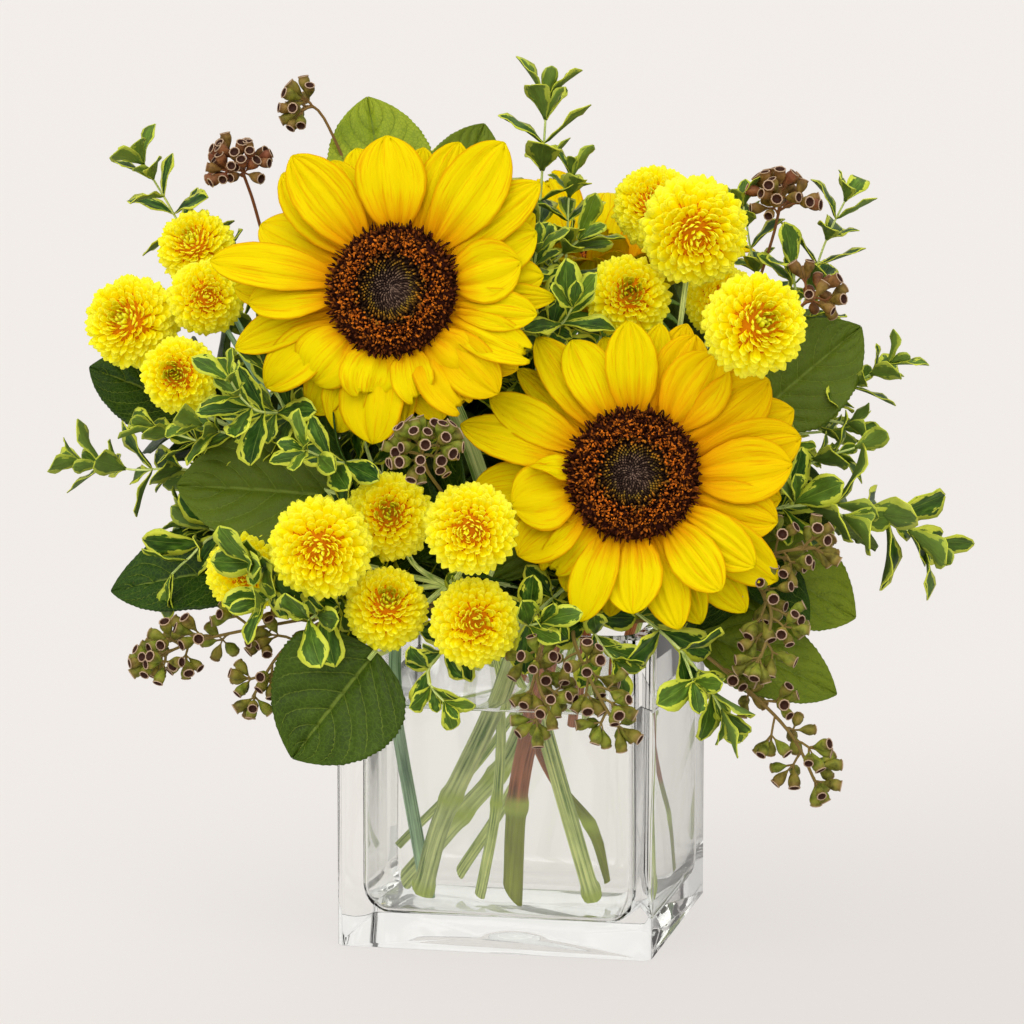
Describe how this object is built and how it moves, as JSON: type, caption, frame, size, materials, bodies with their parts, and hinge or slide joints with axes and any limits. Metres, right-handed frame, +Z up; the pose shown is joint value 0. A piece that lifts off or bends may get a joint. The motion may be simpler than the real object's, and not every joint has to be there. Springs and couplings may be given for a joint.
{
  "type": "sunflowers in a vase",
  "caption": "Low full bouquet of sunflowers, yellow button chrysanthemums and mixed foliage standing in water in a square clear glass vase.",
  "frame": {"origin": "middle of the vase's flat foot, on the surface that it stands on", "axes": "+Z up; the vase's front face looks along -Y and its right face along +X; the bouquet's front is turned 12.3 degrees from the vase's, towards +X"},
  "size_m": [0.386, 0.2809, 0.3588],
  "materials": {
    "glass": "clear, polished",
    "water": "clear, still",
    "petal": "soft, satin",
    "disc": "matt, bristly",
    "sunflower_stem": "matt, finely hairy",
    "button_bloom": "soft, matt",
    "button_stem": "satin, ribbed",
    "variegated": "satin green with cream-yellow edges",
    "seeded": "matt, bloomy",
    "lemon_leaf": "satin, veined"
  },
  "bodies": {
    "root": {"sunflower_left_stem": "sunflower_stem", "sunflower_left_petals": "petal", "sunflower_left_disc": "disc", "sunflower_right_stem": "sunflower_stem", "sunflower_right_petals": "petal", "sunflower_right_disc": "disc", "sunflower_back_stem": "sunflower_stem", "sunflower_back_petals": "petal", "sunflower_back_disc": "disc", "pompon_stem_left": "button_stem", "pompon_left_1": "button_bloom", "pompon_left_2": "button_bloom", "pompon_left_3": "button_bloom", "pompon_left_4": "button_bloom", "pompon_stem_front": "button_stem", "pompon_front_1": "button_bloom", "pompon_front_2": "button_bloom", "pompon_front_3": "button_bloom", "pompon_front_4": "button_bloom", "pompon_front_5": "button_bloom", "pompon_front_6": "button_bloom", "pompon_stem_right": "button_stem", "pompon_right_1": "button_bloom", "pompon_right_2": "button_bloom", "pompon_right_3": "button_bloom", "pompon_right_4": "button_bloom", "pompon_right_5": "button_bloom", "pompon_stem_back": "button_stem", "pompon_back_1": "button_bloom", "pompon_back_2": "button_bloom", "pompon_back_3": "button_bloom", "variegated_left": "variegated", "variegated_front": "variegated", "variegated_right": "variegated", "variegated_top": "variegated", "variegated_back": "variegated", "seeded_left": "seeded", "seeded_low": "seeded", "seeded_right": "seeded", "lemon_leaf_front": "lemon_leaf", "lemon_leaf_right": "lemon_leaf", "lemon_leaf_back": "lemon_leaf", "vase": "glass", "water": "water"}
  },
  "joints": []
}
